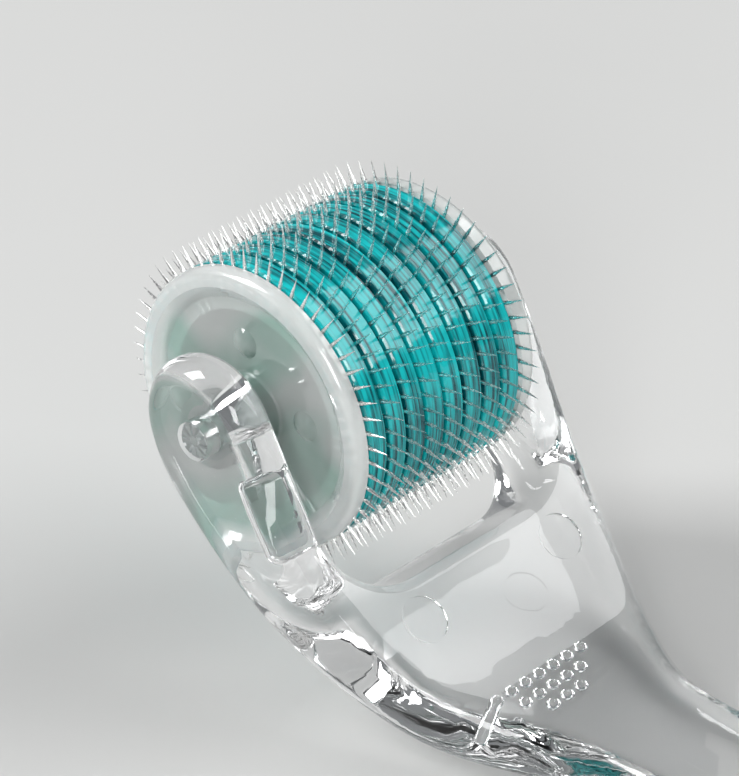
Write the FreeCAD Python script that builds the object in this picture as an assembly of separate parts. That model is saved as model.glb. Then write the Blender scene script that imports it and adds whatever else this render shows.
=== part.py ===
import FreeCAD, Part
import math
import os

# A derma roller: a clear handle with a two-armed fork, and a needle drum that rolls between the arms.
# Millimetres. +X runs from the head to the tail, +Y along the drum's axle, +Z up.
# The roller lies on its underside, so z = 0 is the table.

# Driving dimensions: drum
disc_radius = 9.5
disc_pitch = 1.725
disc_count = 8
disc_edge_break = 0.12
needle_gap = 0.30
needle_seat_radius = 6.6
needles_per_row = 60
needle_reach = 1.5
needle_radius = 0.135
needle_taper_length = 1.35
needle_tip_radius = 0.012
row_stagger = 0.4

# Driving dimensions: end caps
left_cap_depth = 1.1
right_cap_depth = 1.55
cap_shoulder = 0.7
cap_lip_radius = 8.35
cap_step_radius = 7.95
cap_step_depth = 0.3
cap_face_radius = 7.5
cap_face_depth = 0.6
cap_hub_radius = 2.4
cap_bump_radius = 1.0
cap_bump_height = 0.4
cap_bump_circle = 4.5
cap_bump_turn = 8.0
cap_root_round = 0.2

# Driving dimensions: spindle and its bearings in the fork
core_radius = 3.5
neck_radius = 1.8
journal_radius = 1.25
running_clearance = 0.05
side_clearance = 0.25
journal_end_clearance = 0.1
journal_edge_break = 0.2
journal_ribs = 10
journal_rib_width = 0.22
journal_rib_depth = 0.35
journal_rib_start = 0.3

# Driving dimensions: fork arms. Their ends are round about a point near the axle.
axle_height = 18.3
arm_inner = 9.9
arm_thickness = 3.15
arm_slope = 59.0
arm_end_radius = 4.7
arm_end_offset = (0.2, 0.65)
arm_crown_turn = 110.0
arm_front_turn = 30.0
arm_back_turn = 193.0
arm_front_length = 7.6
notch_floor = 13.2
notch_corner = 5.0
socket_depth = 2.3
ramp_top = (3.3, -2.7)
ramp_length = 4.2
ramp_turn = 60.0
ramp_radius = 0.8
ramp_bite = 0.35
ramp_deepening = 0.2

# Driving dimensions: web, neck and grip. Web points are (distance, height) from the axle,
# grip points are (distance from the axle, height above the table), widths are (distance, half width).
web_top_points = ((13.4, -9.8), (18.0, -12.8), (23.5, -14.1))
web_bottom_points = ((-1.0, -5.7), (3.4, -9.5), (11.5, -15.0), (17.0, -17.5), (22.0, -18.1))
web_half_widths = ((10.5, 11.9), (17.0, 9.4), (23.0, 6.5))
web_width_start = 3.0
neck_x = 32.0
neck_width = 10.4
neck_thickness = 4.1
grip_top_points = ((55.0, 5.8), (85.0, 7.4), (110.0, 6.1))
grip_half_widths = ((55.0, 6.3), (85.0, 7.6))
tail_reach = 125.0
tail_round = 7.0
tail_thickness = 3.7
tail_fall = -10.0
outer_round = 1.75
inner_round = 1.3

# Driving dimensions: ejector marks and grip dots on the web
mark_radius = 1.57
mark_depth = 0.1
mark_offset = 6.3
mark_x = 13.6
dot_pitch = 1.3
dot_radius = 0.47
dot_height = 0.38
dot_rows = (7, 5, 3)
dot_first_x = 16.9

# How far cutting tools and raw outlines run past what they cut
overrun = 3.0
short_overrun = 1.0
beyond = 20.0
near_zero = 0.01

# Worked out from them
row_count = disc_count + 1
stack_half = disc_pitch * disc_count / 2
tip_radius = disc_radius + needle_reach
arm_outer = arm_inner + arm_thickness
hub_face = arm_inner - side_clearance
socket_floor = arm_inner + socket_depth
journal_end = socket_floor - journal_end_clearance
axle_x = (tip_radius - tail_reach) / 2
bore_radius = journal_radius + running_clearance
X = FreeCAD.Vector(1, 0, 0)
Y = FreeCAD.Vector(0, 1, 0)
Z = FreeCAD.Vector(0, 0, 1)


def side_point(x, z, y=0.0):
    """A point given from the drum's axle, as a place in the model."""
    return FreeCAD.Vector(axle_x + x, y, axle_height + z)


axle = side_point(0, 0)


def direction(degrees):
    """A unit vector in the side view: 0 is towards the tail, 90 is up."""
    turn = math.radians(degrees)
    return FreeCAD.Vector(math.cos(turn), 0, math.sin(turn))


def above_table(x, height):
    """A point given by its distance from the axle and its height above the table."""
    return FreeCAD.Vector(axle_x + x, 0, height)


def spline(points, first, last):
    """A smooth curve through the points, with its two end directions."""
    curve = Part.BSplineCurve()
    curve.interpolate(Points=points, InitialTangent=first, FinalTangent=last)
    return curve.toShape()


def turned(profile):
    """A solid of revolution about the drum's axle, from a closed outline of (y, radius) points."""
    points = [side_point(0, radius, y) for y, radius in profile]
    outline = Part.makePolygon(points + points[:1])
    return Part.Face(outline).revolve(axle, Y, 360)


# Drum

def spacer_disc(index):
    """One teal disc: full pitch at its hub, thinner outside, where the needles are gripped."""
    start = -stack_half + index * disc_pitch
    end = start + disc_pitch
    gap = needle_gap / 2
    return turned([
        (start, core_radius),
        (start, needle_seat_radius),
        (start + gap, needle_seat_radius),
        (start + gap, disc_radius - disc_edge_break),
        (start + gap + disc_edge_break, disc_radius),
        (end - gap - disc_edge_break, disc_radius),
        (end - gap, disc_radius - disc_edge_break),
        (end - gap, needle_seat_radius),
        (end, needle_seat_radius),
        (end, core_radius),
    ])


def needle():
    """One needle along +X from the middle of the drum: a round shank and a long sharp taper."""
    taper_start = tip_radius - needle_taper_length
    outline = Part.makePolygon([
        FreeCAD.Vector(needle_seat_radius, 0, 0),
        FreeCAD.Vector(needle_seat_radius, 0, needle_radius),
        FreeCAD.Vector(taper_start, 0, needle_radius),
        FreeCAD.Vector(tip_radius, 0, needle_tip_radius),
        FreeCAD.Vector(tip_radius, 0, 0),
        FreeCAD.Vector(needle_seat_radius, 0, 0),
    ])
    return Part.Face(outline).revolve(FreeCAD.Vector(0, 0, 0), X, 360)


def needle_row(index):
    """Sixty separate needles in one plane; every second row is turned by part of a pitch."""
    y = -stack_half + index * disc_pitch
    step = 360 / needles_per_row
    shift = step * row_stagger * (index % 2)
    needles = []
    for number in range(needles_per_row):
        one = needle()
        one.rotate(FreeCAD.Vector(0, 0, 0), Y, -(number * step + shift))
        one.translate(side_point(0, 0, y))
        needles.append(one)
    return Part.makeCompound(needles)


def cap_bumps(face_y):
    """Four low round bumps on the cap's dished face."""
    sphere_radius = (cap_bump_radius ** 2 + cap_bump_height ** 2) / (2 * cap_bump_height)
    bumps = []
    for quarter in range(4):
        spot = direction(cap_bump_turn + 90 * quarter) * cap_bump_circle
        centre = axle + spot + Y * (face_y - cap_bump_height + sphere_radius)
        cutter = Part.makeCylinder(cap_bump_radius, 3 * cap_bump_height,
                                   axle + spot + Y * (face_y - 2 * cap_bump_height), Y)
        bumps.append(Part.makeSphere(sphere_radius, centre).common(cutter))
    return bumps


def end_cap(depth):
    """A frosted cap for the -Y end: rounded rim, stepped lip, dished face and bored hub."""
    inner = -stack_half
    gap = needle_gap / 2
    outer = inner - depth
    face = outer + cap_face_depth
    body = turned([
        (inner, neck_radius),
        (inner, needle_seat_radius),
        (inner - gap, needle_seat_radius),
        (inner - gap, disc_radius),
        (outer, disc_radius),
        (outer, cap_lip_radius),
        (outer + cap_step_depth, cap_step_radius),
        (face, cap_face_radius),
        (face, cap_hub_radius),
        (-hub_face, cap_hub_radius),
        (-hub_face, neck_radius),
    ])
    rim_edges = [edge for edge in body.Edges
                 if edge.BoundBox.YMax < outer + near_zero
                 and edge.BoundBox.XLength > 2 * disc_radius - near_zero]
    body = body.makeFillet(cap_shoulder, rim_edges)
    root_edges = [edge for edge in body.Edges
                  if abs(edge.BoundBox.YMax - face) < near_zero
                  and edge.BoundBox.YLength < near_zero
                  and edge.BoundBox.XLength < 2 * cap_face_radius + near_zero]
    body = body.makeFillet(cap_root_round, root_edges)
    return body.fuse(cap_bumps(face)).removeSplitter()


def right_end_cap():
    """The deeper cap, turned half a turn about the vertical onto the +Y end."""
    cap = end_cap(right_cap_depth)
    cap.rotate(axle, Z, 180)
    return cap


def rib_gaps():
    """The radial slots that leave a ring of ribs on each journal's end."""
    slots = []
    for way in (-1, 1):
        for number in range(journal_ribs):
            slot = Part.makeBox(journal_radius, 2 * journal_rib_depth, journal_rib_width)
            slot.translate(FreeCAD.Vector(journal_rib_start, -journal_rib_depth, -journal_rib_width / 2))
            slot.rotate(FreeCAD.Vector(0, 0, 0), Y, 360 / journal_ribs * number)
            slot.translate(axle + Y * way * journal_end)
            slots.append(slot)
    return slots


def drum_spindle():
    """The core through discs and caps, with a journal at each end and ribs on the journals' ends."""
    return turned([
        (-journal_end, 0),
        (-journal_end, journal_radius - journal_edge_break),
        (-journal_end + journal_edge_break, journal_radius),
        (-hub_face, journal_radius),
        (-hub_face, neck_radius),
        (-stack_half, neck_radius),
        (-stack_half, core_radius),
        (stack_half, core_radius),
        (stack_half, neck_radius),
        (hub_face, neck_radius),
        (hub_face, journal_radius),
        (journal_end - journal_edge_break, journal_radius),
        (journal_end, journal_radius - journal_edge_break),
        (journal_end, 0),
    ]).cut(rib_gaps())


# Handle

arm_end_centre = side_point(*arm_end_offset)
front_top = arm_end_centre + direction(arm_front_turn) * arm_end_radius
front_bottom = front_top + direction(arm_front_turn - 90) * arm_front_length
back_top = arm_end_centre + direction(arm_back_turn) * arm_end_radius
neck_top = above_table(neck_x, neck_thickness)
neck_bottom = above_table(neck_x, 0)
tail_top = above_table(tail_reach + overrun, tail_thickness)
tail_bottom = above_table(tail_reach + overrun, 0)


def web_top():
    """The upper side of the web, from the end of the arms' straight front to the neck."""
    points = [side_point(x, z) for x, z in web_top_points]
    return spline([front_bottom] + points + [neck_top], direction(arm_front_turn - 90), X)


def grip_top():
    """The upper side of the grip, from the neck to past the tail."""
    points = [above_table(x, height) for x, height in grip_top_points]
    return spline([neck_top] + points + [tail_top], X, direction(tail_fall))


def web_bottom():
    """The back of the arms and the underside of the web, down to the table at the neck."""
    points = [side_point(x, z) for x, z in web_bottom_points]
    return spline([back_top] + points + [neck_bottom], direction(arm_back_turn + 90), X)


def side_outline():
    """The handle's outline in the side view."""
    crown = arm_end_centre + direction(arm_crown_turn) * arm_end_radius
    edges = [
        Part.Arc(back_top, crown, front_top).toShape(),
        Part.makeLine(front_top, front_bottom),
        web_top(),
        grip_top(),
        Part.makeLine(tail_top, tail_bottom),
        Part.makeLine(tail_bottom, neck_bottom),
        web_bottom(),
    ]
    return Part.Wire(Part.__sortEdges__(edges))


def plan_outline():
    """The handle's outline from above: wide at the head, narrow at the neck, fuller at the grip."""
    front_x = -arm_end_radius - overrun
    neck = (neck_x, neck_width / 2)
    tail = (tail_reach - tail_round, tail_round)
    web = ((web_width_start, arm_outer),) + web_half_widths + (neck,)
    grip = (neck,) + grip_half_widths + (tail,)
    edges = []
    for way in (-1, 1):
        web_points = [FreeCAD.Vector(axle_x + x, way * y, 0) for x, y in web]
        grip_points = [FreeCAD.Vector(axle_x + x, way * y, 0) for x, y in grip]
        front = FreeCAD.Vector(axle_x + front_x, way * arm_outer, 0)
        edges.append(Part.makeLine(front, web_points[0]))
        edges.append(spline(web_points, X, X))
        edges.append(spline(grip_points, X, X))
    tail_tip = FreeCAD.Vector(axle_x + tail_reach, 0, 0)
    tail_side = FreeCAD.Vector(axle_x + tail_reach - tail_round, tail_round, 0)
    tail_other_side = FreeCAD.Vector(tail_side.x, -tail_round, 0)
    edges.append(Part.Arc(tail_side, tail_tip, tail_other_side).toShape())
    edges.append(Part.makeLine(FreeCAD.Vector(axle_x + front_x, -arm_outer, 0),
                               FreeCAD.Vector(axle_x + front_x, arm_outer, 0)))
    return Part.Wire(Part.__sortEdges__(edges))


def notch_cutter():
    """The U between the arms, cut square to them, with rounded inner corners."""
    down_arm = direction(-arm_slope)
    through = direction(90 - arm_slope)
    start = axle - (down_arm + through) * beyond - Y * arm_inner
    depth = beyond + notch_floor
    block = Part.makeBox(depth, 2 * arm_inner, 2 * beyond)
    corner_edges = [edge for edge in block.Edges
                    if edge.BoundBox.ZLength > near_zero and edge.BoundBox.XMin > depth - near_zero]
    block = block.makeFillet(notch_corner, corner_edges)
    block.Placement = FreeCAD.Placement(start, FreeCAD.Rotation(down_arm, Y, through, "XYZ"))
    return block


def long_edges(half):
    """The edges where a half's side meets its top and underside, without its seams and middle plane."""
    picked = []
    for edge in half.Edges:
        box = edge.BoundBox
        across = box.XLength < near_zero and box.ZLength < near_zero
        upright = box.XLength < near_zero and box.YLength < near_zero
        middle = box.YMax < near_zero
        if not (across or upright or middle):
            picked.append(edge)
    return picked


def notch_edges(solid):
    """The edges of the U, all of them between the arms' inner faces."""
    return [edge for edge in solid.Edges
            if edge.BoundBox.YMax < arm_inner + near_zero
            and edge.BoundBox.YMin > -arm_inner - near_zero
            and edge.BoundBox.XMax < axle_x + notch_floor + overrun]


def ramp(side):
    """The round-bottomed lead-in on an arm's inner face, below the axle socket."""
    start = side_point(*ramp_top, side * (arm_inner - ramp_bite))
    end = start + direction(-ramp_turn) * ramp_length + Y * side * ramp_deepening
    run = end - start
    tube = Part.makeCylinder(ramp_radius, run.Length, start, run)
    return tube.fuse([Part.makeSphere(ramp_radius, start), Part.makeSphere(ramp_radius, end)])


def socket(side):
    """The blind hole in an arm's inner face that a journal turns in."""
    start = axle + Y * side * (arm_inner - overrun)
    return Part.makeCylinder(bore_radius, socket_depth + overrun, start, Y * side)


def surface_height(edge, x):
    """The height of a side-view curve at a distance from the axle."""
    line = Part.makeLine(above_table(x, -beyond), above_table(x, 2 * beyond))
    return edge.distToShape(line)[1][0][0].z


def ejector_mark(side):
    """A shallow round ejector mark on the web's upper face."""
    step = 0.1
    here = surface_height(web_top(), mark_x)
    ahead = surface_height(web_top(), mark_x + step)
    slope = math.degrees(math.atan2(ahead - here, step))
    normal = direction(slope + 90)
    centre = FreeCAD.Vector(axle_x + mark_x, side * mark_offset, here)
    return Part.makeCylinder(mark_radius, short_overrun, centre - normal * mark_depth, normal)


def grip_dots():
    """Small domed grip dots under the web, in rows that shorten towards the neck."""
    sphere_radius = (dot_radius ** 2 + dot_height ** 2) / (2 * dot_height)
    dots = []
    for row, count in enumerate(dot_rows):
        x = dot_first_x + row * dot_pitch
        z = surface_height(web_bottom(), x) + sphere_radius - dot_height
        for column in range(count):
            y = (column - (count - 1) / 2) * dot_pitch
            dots.append(Part.makeSphere(sphere_radius, FreeCAD.Vector(axle_x + x, y, z)))
    return dots


def handle():
    """The clear one-piece handle: fork arms, web, neck and grip."""
    side = Part.Face(side_outline())
    plan = Part.Face(plan_outline())
    plan.translate(-Z * overrun)
    half = side.extrude(Y * beyond).common(plan.extrude(Z * 2 * beyond))
    half = half.makeFillet(outer_round, long_edges(half))
    body = half.fuse(half.mirror(axle, Y)).removeSplitter()
    body = body.cut(notch_cutter())
    body = body.makeFillet(inner_round, notch_edges(body))
    cutters = []
    for way in (-1, 1):
        cutters += [socket(way), ramp(way), ejector_mark(way)]
    body = body.cut(cutters)
    return body.fuse(grip_dots()).removeSplitter()


def save(name, shape):
    """Write one node."""
    shape.exportStep(os.path.join("parts", name + ".step"))
    print(name, "solids", len(shape.Solids), "volume", round(shape.Volume, 2), "valid", shape.isValid())


os.makedirs("parts", exist_ok=True)
save("handle", handle())
save("drum_spindle", drum_spindle())
save("left_end_cap", end_cap(left_cap_depth))
save("right_end_cap", right_end_cap())
for disc in range(disc_count):
    save("spacer_disc_%d" % (disc + 1), spacer_disc(disc))
for row in range(row_count):
    save("needle_row_%d" % (row + 1), needle_row(row))
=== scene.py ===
import bpy
import math
import numpy as np
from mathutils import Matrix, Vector


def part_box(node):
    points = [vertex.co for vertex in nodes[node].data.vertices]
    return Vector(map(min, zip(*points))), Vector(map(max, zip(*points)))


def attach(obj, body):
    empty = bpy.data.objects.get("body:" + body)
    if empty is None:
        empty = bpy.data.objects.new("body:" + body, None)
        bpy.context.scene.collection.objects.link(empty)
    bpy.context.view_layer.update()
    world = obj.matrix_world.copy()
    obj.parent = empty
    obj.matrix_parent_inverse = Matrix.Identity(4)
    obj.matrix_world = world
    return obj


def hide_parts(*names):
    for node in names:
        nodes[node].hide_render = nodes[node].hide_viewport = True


# A derma roller on a pale studio floor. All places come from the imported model, in metres.

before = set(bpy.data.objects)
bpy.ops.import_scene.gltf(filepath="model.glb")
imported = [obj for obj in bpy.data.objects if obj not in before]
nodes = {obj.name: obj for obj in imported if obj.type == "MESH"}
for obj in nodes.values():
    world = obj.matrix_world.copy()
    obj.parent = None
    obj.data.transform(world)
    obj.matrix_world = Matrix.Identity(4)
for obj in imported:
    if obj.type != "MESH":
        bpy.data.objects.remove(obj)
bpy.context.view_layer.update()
MM = 0.001

# Camera: the view and the distance that the roller is looked at from
VIEW_AZIMUTH = 43.2
VIEW_ELEVATION = 32.0
VIEW_DISTANCE = 0.289
VIEW_SHIFT_RIGHT = 2.149 * MM
VIEW_SHIFT_DOWN = 1.5975 * MM
LENS = 212.94
SENSOR = 36.0

CLIP_START = 0.01

# Floor, and the grey room that lights it from all round
FLOOR_SIZE = 4.0
FLOOR_COLOUR = (0.60, 0.60, 0.59, 1)
FLOOR_GRAIN = 0.97
FLOOR_GRAIN_CELLS = 40
FLOOR_ROUGHNESS = 0.55
ROOM_COLOUR = (0.80, 0.83, 0.86, 1)
ROOM_STRENGTH = 0.24

# Soft boxes: name, place from the aim, width, height, watts
SOFT_BOXES = (
    ("key_light", (0.26, 0.38, 0.42), 0.56, 0.46, 2.9),
    ("side_light", (-0.42, -0.36, 0.42), 0.22, 0.40, 4.0),
    ("front_light", (0.38, -0.55, 0.30), 0.20, 0.30, 2.4),
)

# How many times light is followed through the clear plastic, off bright faces and through gaps
CLEAR_BOUNCES = 24
GLOSSY_BOUNCES = 8
TRANSPARENT_BOUNCES = 16

# Materials. Cells are the cells per metre of a noise; a stretch is the scale along X, Y and Z;
# heights are those of the bumps; a pair of values or colours is the low and the high end.
SMOOTH, LAYERED, FINE = 1.0, 2.0, 3.0
NOISE_RANGE = (0.3, 0.7)
WHOLE_RANGE = (0, 1)

ACRYLIC_IOR = 1.49
ACRYLIC_TINTS = ((0.985, 0.992, 0.995, 1), (0.995, 0.998, 1.0, 1))
ACRYLIC_TINT_CELLS = 60
ACRYLIC_HAZE = (0.0, 0.006)
ACRYLIC_HAZE_CELLS = 260
FLOW_CELLS = 190
FLOW_STRETCH = (0.35, 1, 1)
FLOW_HEIGHT = 0.02 * MM
FLOW_STRENGTH = 0.5

TEAL_CLEARNESS = 0.5
# The teal's low and high tints are painted shade and painted light, dark teal and bright cyan; the fine
# bands below choose between them
TEAL_SHADE_AND_LIGHT_TINTS = ((0.0, 0.13, 0.16, 1), (0.01, 0.97, 1.0, 1))
TEAL_ROUGHNESS = (0.03, 0.09)
TEAL_ROUGHNESS_CELLS = 900
PAINTED_STRIPE_CELLS = 3600
PAINTED_STRIPE_STRETCH = (0.035, 1.0, 0.035)
PAINTED_STRIPE_BREAKUP = 0.6
PAINTED_STRIPE_WEIGHT = 0.85
PAINTED_STRIPE_RANGE = (0.37, 0.56)
TEAL_CLOUDS = (0.02, 0.12)
TEAL_CLOUD_CELLS = 160
SCRATCH_CELLS = 6500
SCRATCH_STRETCH = (0.03, 1.0, 0.03)
SCRATCH_HEIGHT = 0.012 * MM
SCRATCH_STRENGTH = 0.6

CAP_CLEARNESS = 0.62
CAP_COAT = 0.6
CAP_COAT_ROUGHNESS = 0.03
CAP_FACE_TINTS = ((0.52, 0.74, 0.66, 1), (0.80, 0.85, 0.83, 1))
# The near-white tint of the outer ring is a painted highlight, for the light through and off it
CAP_RIM_HIGHLIGHT_TINT = (0.97, 0.99, 0.98, 1)
CAP_CLOUD_CELLS = 170
CAP_CLOUD_RANGE = (0.42, 0.60)
CAP_ROUGHNESS = (0.05, 0.10)
CAP_ROUGHNESS_CELLS = 600
CAP_GRAIN_CELLS = 900
CAP_GRAIN_HEIGHT = 0.004 * MM
CAP_GRAIN_STRENGTH = 0.3

# The end caps turn from the face's colour to a painted highlight, near-white, on the outer ring between
# these distances from the axis
CAP_RIM_HIGHLIGHT_RANGE = (7.4 * MM, 8.3 * MM)

SPINDLE_CLEARNESS = 0.7
SPINDLE_IOR = 1.47
SPINDLE_TINTS = ((0.80, 0.90, 0.88, 1), (0.92, 0.96, 0.95, 1))
SPINDLE_TINT_CELLS = 350
SPINDLE_ROUGHNESS = (0.12, 0.25)
SPINDLE_ROUGHNESS_CELLS = 1200
TURNING_CELLS = 2500
TURNING_STRETCH = (0.05, 4, 0.05)
TURNING_HEIGHT = 0.03 * MM
TURNING_STRENGTH = 0.5

STEEL_TINTS = ((0.74, 0.74, 0.73, 1), (0.93, 0.93, 0.92, 1))
STEEL_TINT_CELLS = 2500
STEEL_ROUGHNESS = (0.16, 0.34)
STEEL_ROUGHNESS_CELLS = 6000
GRINDING_CELLS = 14000
GRINDING_HEIGHT = 0.004 * MM
GRINDING_STRENGTH = 0.4

DISC_COUNT = 8
ROW_COUNT = 9

# The handle's skin: how finely its facets are divided, how far they bulge, the largest angle
# that is smoothed over, how close two corners are to be the same point, and the marks for an
# unused part of a point's key and for a point inside a facet
SKIN_CUTS = 3
PATCH_BULGE = 0.5
CREASE_ANGLE = 25.0
WELD_GRID = 0.0002 * MM
NO_KEY = -1
INNER_KEY = -2


# Materials

def new_material(name):
    """An empty node material with its Principled shader, node tree and link call."""
    material = bpy.data.materials.new(name)
    material.use_nodes = True
    tree = material.node_tree
    shader = tree.nodes["Principled BSDF"]
    return material, tree, shader


def add(tree, kind, **values):
    """A node with plain input values, given by input name with _ for a space."""
    node = tree.nodes.new(kind)
    for name, value in values.items():
        node.inputs[name.replace("_", " ")].default_value = value
    return node


def coordinates(tree, scale=(1, 1, 1)):
    """Object coordinates, in metres, times a scale for each axis."""
    source = tree.nodes.new("ShaderNodeTexCoord")
    stretch = tree.nodes.new("ShaderNodeMapping")
    stretch.inputs["Scale"].default_value = scale
    tree.links.new(source.outputs["Object"], stretch.inputs["Vector"])
    return stretch.outputs["Vector"]


def noise(tree, place, cells, detail=FINE, breakup=0.5):
    """Noise of so many cells per metre."""
    node = add(tree, "ShaderNodeTexNoise", Scale=cells, Detail=detail, Roughness=breakup)
    tree.links.new(place, node.inputs["Vector"])
    return node.outputs["Fac"]


def spread(tree, value, wanted, given=NOISE_RANGE):
    """A value stretched from the range it is given in to the range that is wanted."""
    node = tree.nodes.new("ShaderNodeMapRange")
    node.inputs["From Min"].default_value = given[0]
    node.inputs["From Max"].default_value = given[1]
    node.inputs["To Min"].default_value = wanted[0]
    node.inputs["To Max"].default_value = wanted[1]
    tree.links.new(value, node.inputs["Value"])
    return node.outputs["Result"]


def feed(tree, value, socket):
    """Give a socket either a link from another socket or a plain value."""
    if isinstance(value, bpy.types.NodeSocket):
        tree.links.new(value, socket)
    else:
        socket.default_value = value


def blend_colours(tree, value, low, high):
    """A colour between two, by a value from 0 to 1."""
    node = tree.nodes.new("ShaderNodeMix")
    node.data_type = "RGBA"
    feed(tree, low, node.inputs[6])
    feed(tree, high, node.inputs[7])
    tree.links.new(value, node.inputs[0])
    return node.outputs[2]


def bump(tree, shader, height, distance, strength=1.0):
    """Fine relief on the surface."""
    node = tree.nodes.new("ShaderNodeBump")
    node.inputs["Strength"].default_value = strength
    node.inputs["Distance"].default_value = distance
    tree.links.new(height, node.inputs["Height"])
    tree.links.new(node.outputs["Normal"], shader.inputs["Normal"])


def clear_acrylic():
    """Polished clear acrylic, with a trace of moulding flow and handling haze."""
    material, tree, shader = new_material("clear_acrylic")
    shader.inputs["Transmission Weight"].default_value = 1.0
    shader.inputs["IOR"].default_value = ACRYLIC_IOR
    place = coordinates(tree)
    haze = spread(tree, noise(tree, place, ACRYLIC_HAZE_CELLS), ACRYLIC_HAZE)
    tree.links.new(haze, shader.inputs["Roughness"])
    tint = blend_colours(tree, noise(tree, place, ACRYLIC_TINT_CELLS), *ACRYLIC_TINTS)
    tree.links.new(tint, shader.inputs["Base Color"])
    flow = noise(tree, coordinates(tree, FLOW_STRETCH), FLOW_CELLS, SMOOTH)
    bump(tree, shader, flow, FLOW_HEIGHT, FLOW_STRENGTH)
    return material


def teal_plastic():
    """Translucent teal plastic. Fine bands round each disc are painted light and shade: bright cyan and
    dark teal in place of the light and dark that refraction inside the drum gives.
    """
    material, tree, shader = new_material("teal_plastic")
    shader.inputs["Transmission Weight"].default_value = TEAL_CLEARNESS
    shader.inputs["IOR"].default_value = ACRYLIC_IOR
    place = coordinates(tree)
    # Painted light and shade: fine bands round the disc, plus faint clouds, choose between the dark and
    # the bright tint
    painted_stripes = noise(tree, coordinates(tree, PAINTED_STRIPE_STRETCH), PAINTED_STRIPE_CELLS, LAYERED, PAINTED_STRIPE_BREAKUP)
    clouds = spread(tree, noise(tree, place, TEAL_CLOUD_CELLS, SMOOTH), TEAL_CLOUDS)
    tint = tree.nodes.new("ShaderNodeMath")
    tint.operation = "MULTIPLY_ADD"
    tint.inputs[1].default_value = PAINTED_STRIPE_WEIGHT
    tree.links.new(painted_stripes, tint.inputs[0])
    tree.links.new(clouds, tint.inputs[2])
    painted_light_and_shade = spread(tree, tint.outputs[0], WHOLE_RANGE, PAINTED_STRIPE_RANGE)
    tree.links.new(blend_colours(tree, painted_light_and_shade, *TEAL_SHADE_AND_LIGHT_TINTS), shader.inputs["Base Color"])
    gloss = spread(tree, noise(tree, place, TEAL_ROUGHNESS_CELLS), TEAL_ROUGHNESS)
    tree.links.new(gloss, shader.inputs["Roughness"])
    scratches = noise(tree, coordinates(tree, SCRATCH_STRETCH), SCRATCH_CELLS, SMOOTH)
    bump(tree, shader, scratches, SCRATCH_HEIGHT, SCRATCH_STRENGTH)
    return material


def axis_distance(tree, place, name):
    """The distance from the drum's axis, in metres, on a CAD node."""
    low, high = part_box("drum_spindle")
    centre = nodes[name].matrix_world.inverted() @ ((low + high) / 2)
    shift = tree.nodes.new("ShaderNodeVectorMath")
    shift.operation = "SUBTRACT"
    shift.inputs[1].default_value = centre
    tree.links.new(place, shift.inputs[0])
    flatten = tree.nodes.new("ShaderNodeVectorMath")
    flatten.operation = "MULTIPLY"
    flatten.inputs[1].default_value = (1, 0, 1)
    tree.links.new(shift.outputs[0], flatten.inputs[0])
    length = tree.nodes.new("ShaderNodeVectorMath")
    length.operation = "LENGTH"
    tree.links.new(flatten.outputs[0], length.inputs[0])
    return length.outputs["Value"]


def frosted_plastic():
    """Half-clear glossy plastic for the end caps: a near-white painted highlight on the outer ring, and
    pale green clouds on the face.
    """
    material, tree, shader = new_material("frosted_plastic")
    shader.inputs["Transmission Weight"].default_value = CAP_CLEARNESS
    shader.inputs["IOR"].default_value = ACRYLIC_IOR
    shader.inputs["Coat Weight"].default_value = CAP_COAT
    shader.inputs["Coat Roughness"].default_value = CAP_COAT_ROUGHNESS
    place = coordinates(tree)
    clouds = spread(tree, noise(tree, place, CAP_CLOUD_CELLS, SMOOTH), WHOLE_RANGE, CAP_CLOUD_RANGE)
    face = blend_colours(tree, clouds, *CAP_FACE_TINTS)
    # Painted highlight: the colour turns near-white towards the outer ring
    rim_highlight = spread(tree, axis_distance(tree, place, "left_end_cap"), WHOLE_RANGE, CAP_RIM_HIGHLIGHT_RANGE)
    tree.links.new(blend_colours(tree, rim_highlight, face, CAP_RIM_HIGHLIGHT_TINT), shader.inputs["Base Color"])
    gloss = spread(tree, noise(tree, place, CAP_ROUGHNESS_CELLS), CAP_ROUGHNESS)
    tree.links.new(gloss, shader.inputs["Roughness"])
    grain = noise(tree, place, CAP_GRAIN_CELLS, LAYERED)
    bump(tree, shader, grain, CAP_GRAIN_HEIGHT, CAP_GRAIN_STRENGTH)
    return material


def spindle_plastic():
    """Natural half-clear plastic, with fine turning marks."""
    material, tree, shader = new_material("spindle_plastic")
    shader.inputs["Transmission Weight"].default_value = SPINDLE_CLEARNESS
    shader.inputs["IOR"].default_value = SPINDLE_IOR
    place = coordinates(tree)
    clouds = spread(tree, noise(tree, place, SPINDLE_TINT_CELLS), WHOLE_RANGE)
    tree.links.new(blend_colours(tree, clouds, *SPINDLE_TINTS), shader.inputs["Base Color"])
    gloss = spread(tree, noise(tree, place, SPINDLE_ROUGHNESS_CELLS), SPINDLE_ROUGHNESS)
    tree.links.new(gloss, shader.inputs["Roughness"])
    rings = noise(tree, coordinates(tree, TURNING_STRETCH), TURNING_CELLS, LAYERED)
    bump(tree, shader, rings, TURNING_HEIGHT, TURNING_STRENGTH)
    return material


def needle_steel():
    """Bright stainless steel, with fine grinding marks."""
    material, tree, shader = new_material("needle_steel")
    shader.inputs["Metallic"].default_value = 1.0
    place = coordinates(tree)
    patches = spread(tree, noise(tree, place, STEEL_TINT_CELLS), WHOLE_RANGE)
    tree.links.new(blend_colours(tree, patches, *STEEL_TINTS), shader.inputs["Base Color"])
    gloss = spread(tree, noise(tree, place, STEEL_ROUGHNESS_CELLS), STEEL_ROUGHNESS)
    tree.links.new(gloss, shader.inputs["Roughness"])
    marks = noise(tree, place, GRINDING_CELLS, LAYERED)
    bump(tree, shader, marks, GRINDING_HEIGHT, GRINDING_STRENGTH)
    return material


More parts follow.
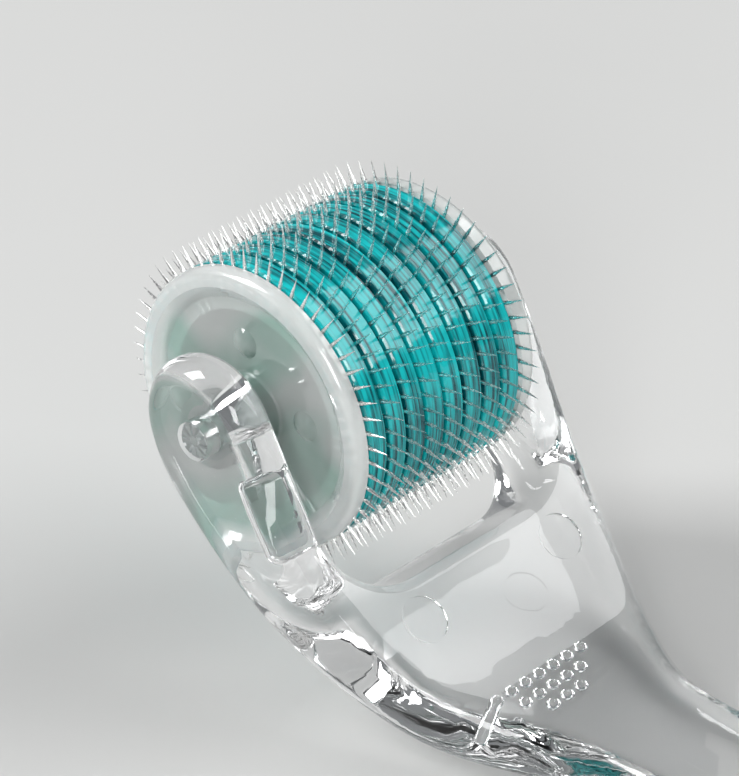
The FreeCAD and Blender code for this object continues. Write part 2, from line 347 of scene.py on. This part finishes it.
def floor_paint():
    """Matt off-white studio floor with a faint grain."""
    material, tree, shader = new_material("studio_floor")
    darker = tuple(FLOOR_GRAIN * part for part in FLOOR_COLOUR[:3]) + (1,)
    grain = noise(tree, coordinates(tree), FLOOR_GRAIN_CELLS)
    tree.links.new(blend_colours(tree, grain, darker, FLOOR_COLOUR), shader.inputs["Base Color"])
    shader.inputs["Roughness"].default_value = FLOOR_ROUGHNESS
    return material


def paint(name, material):
    """Give a CAD node its material."""
    node = nodes[name]
    if not node.material_slots:
        node.data.materials.append(material)
    for slot in node.material_slots:
        slot.material = material


# Handle

def point_keys(corner_ids, shares):
    """One key for each grid point of each facet, the same for all facets that share the point."""
    keys = np.full((len(corner_ids), len(shares), 3), NO_KEY)
    for number, parts in enumerate(shares):
        used = [which for which in range(3) if parts[which]]
        if len(used) == 1:
            keys[:, number, 0] = corner_ids[:, used[0]]
        elif len(used) == 2:
            first, second = corner_ids[:, used[0]], corner_ids[:, used[1]]
            keys[:, number, 0] = np.minimum(first, second)
            keys[:, number, 1] = np.maximum(first, second)
            keys[:, number, 2] = np.where(first < second, parts[used[0]], parts[used[1]])
        else:
            keys[:, number, 0] = INNER_KEY - number
            keys[:, number, 1] = np.arange(len(corner_ids))
    return keys


def blended_normals(corner_ids, normals):
    """The corner normals, with those that meet at a point within the crease angle made one."""
    blended = np.empty_like(normals)
    order = np.argsort(corner_ids, kind="stable")
    ends = np.cumsum(np.bincount(corner_ids))
    for group in np.split(order, ends[:-1]):
        near = normals[group] @ normals[group].T > math.cos(math.radians(CREASE_ANGLE))
        blended[group] = near @ normals[group]
    return blended / np.linalg.norm(blended, axis=1, keepdims=True)


def facet_corners(mesh):
    """The place, the point number and the smoothed normal of each facet's three corners."""
    points = np.empty(len(mesh.vertices) * 3)
    mesh.vertices.foreach_get("co", points)
    corners = np.empty(len(mesh.loops), int)
    mesh.loops.foreach_get("vertex_index", corners)
    normals = np.empty(len(mesh.loops) * 3)
    mesh.corner_normals.foreach_get("vector", normals)
    corner = points.reshape(-1, 3)[corners]
    spots = np.round(corner / WELD_GRID).astype(np.int64)
    corner_ids = np.unique(spots, axis=0, return_inverse=True)[1].ravel()
    normal = blended_normals(corner_ids, normals.reshape(-1, 3))
    return corner.reshape(-1, 3, 3), corner_ids.reshape(-1, 3), normal.reshape(-1, 3, 3)


def facet_grid(cuts):
    """The grid that divides a facet: each point's share of the three corners, and the small facets."""
    grid = [(i, j) for i in range(cuts + 1) for j in range(cuts + 1 - i)]
    place = {spot: number for number, spot in enumerate(grid)}
    shares = [(cuts - i - j, i, j) for i, j in grid]
    upright = [(place[i, j], place[i + 1, j], place[i, j + 1]) for i, j in grid if i + j < cuts]
    turned = [(place[i + 1, j], place[i + 1, j + 1], place[i, j + 1])
              for i, j in grid if i + j < cuts - 1]
    return shares, np.array(upright + turned)


def curved_copy(mesh, cuts, name):
    """A finer, closed copy of a triangle mesh, with each facet divided and bulged to suit its normals."""
    corner, corner_ids, normal = facet_corners(mesh)
    shares, faces = facet_grid(cuts)
    weights = np.array(shares) / cuts
    flat = np.einsum("ga,tac->tgc", weights, corner)
    offset = np.einsum("tgac,tac->tga", flat[:, :, None] - corner[:, None], normal)
    curved = flat - PATCH_BULGE * np.einsum("ga,tga,tac->tgc", weights, offset, normal)
    smooth = np.einsum("ga,tac->tgc", weights, normal)
    smooth /= np.linalg.norm(smooth, axis=2, keepdims=True)

    keys = point_keys(corner_ids, shares).reshape(-1, 3)
    shared = np.unique(keys, axis=0, return_inverse=True)[1].ravel()
    uses = np.bincount(shared)
    loose = curved.reshape(-1, 3)
    merged = np.stack([np.bincount(shared, loose[:, axis]) / uses for axis in range(3)], axis=1)

    starts = np.arange(len(corner)) * len(shares)
    triangles = shared[(starts[:, None, None] + faces[None]).reshape(-1, 3)]
    face_normals = smooth[:, faces].reshape(-1, 3, 3)
    whole = (triangles != np.roll(triangles, 1, axis=1)).all(axis=1)
    made = bpy.data.meshes.new(name)
    made.from_pydata(merged.tolist(), [], triangles[whole].tolist())
    made.polygons.foreach_set("use_smooth", np.ones(len(made.polygons), bool))
    made.normals_split_custom_set(face_normals[whole].reshape(-1, 3))
    return made


def make_handle(material):
    """The handle with a finer, rounder skin, so that light bends cleanly through it."""
    mesh = curved_copy(nodes["handle"].data, SKIN_CUTS, "handle_shell")
    handle = bpy.data.objects.new("handle_shell", mesh)
    bpy.context.scene.collection.objects.link(handle)
    handle.matrix_world = nodes["handle"].matrix_world
    handle.data.materials.append(material)
    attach(handle, "handle")
    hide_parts("handle")
    return handle


# Camera

def make_camera():
    """The camera at the roller's viewing angle, aimed a little beside the drum's centre."""
    low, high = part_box("drum_spindle")
    azimuth, elevation = math.radians(VIEW_AZIMUTH), math.radians(VIEW_ELEVATION)
    back = Vector((math.sin(azimuth) * math.cos(elevation),
                   -math.cos(azimuth) * math.cos(elevation),
                   math.sin(elevation)))
    right = Vector((math.cos(azimuth), math.sin(azimuth), 0))
    up = back.cross(right)
    aim = (low + high) / 2 + right * VIEW_SHIFT_RIGHT - up * VIEW_SHIFT_DOWN
    data = bpy.data.cameras.new("camera")
    data.lens = LENS
    data.sensor_width = SENSOR
    data.clip_start = CLIP_START
    camera = bpy.data.objects.new("camera", data)
    camera.location = aim + back * VIEW_DISTANCE
    camera.rotation_mode = "QUATERNION"
    camera.rotation_quaternion = (-back).to_track_quat("-Z", "Y")
    bpy.context.scene.collection.objects.link(camera)
    bpy.context.scene.camera = camera
    return aim


def make_floor():
    """The pale floor that the roller lies on."""
    mesh = bpy.data.meshes.new("studio_floor")
    half = FLOOR_SIZE / 2
    corners = [(-half, -half, 0), (half, -half, 0), (half, half, 0), (-half, half, 0)]
    mesh.from_pydata(corners, [], [(0, 1, 2, 3)])
    floor = bpy.data.objects.new("studio_floor", mesh)
    mesh.materials.append(floor_paint())
    bpy.context.scene.collection.objects.link(floor)


def soft_box(aim, name, place, width, height, watts):
    """A soft rectangular light that faces the roller."""
    data = bpy.data.lights.new(name, "AREA")
    data.shape = "RECTANGLE"
    data.size = width
    data.size_y = height
    data.energy = watts
    light = bpy.data.objects.new(name, data)
    light.location = aim + Vector(place)
    light.rotation_mode = "QUATERNION"
    light.rotation_quaternion = (-Vector(place)).to_track_quat("-Z", "Y")
    bpy.context.scene.collection.objects.link(light)


def make_light(aim):
    """Soft boxes over and beside the roller, and a grey room."""
    for box in SOFT_BOXES:
        soft_box(aim, *box)
    world = bpy.data.worlds.new("room")
    world.use_nodes = True
    background = world.node_tree.nodes["Background"]
    background.inputs["Color"].default_value = ROOM_COLOUR
    background.inputs["Strength"].default_value = ROOM_STRENGTH
    bpy.context.scene.world = world


aim = make_camera()
make_floor()
make_light(aim)

acrylic = clear_acrylic()
teal = teal_plastic()
frosted = frosted_plastic()
milky = spindle_plastic()
steel = needle_steel()
make_handle(acrylic)
paint("drum_spindle", milky)
paint("left_end_cap", frosted)
paint("right_end_cap", frosted)
for number in range(1, DISC_COUNT + 1):
    paint("spacer_disc_%d" % number, teal)
for number in range(1, ROW_COUNT + 1):
    paint("needle_row_%d" % number, steel)

scene = bpy.context.scene
scene.cycles.max_bounces = CLEAR_BOUNCES
scene.cycles.transmission_bounces = CLEAR_BOUNCES
scene.cycles.glossy_bounces = GLOSSY_BOUNCES
scene.cycles.transparent_max_bounces = TRANSPARENT_BOUNCES
scene.view_settings.view_transform = "Standard"
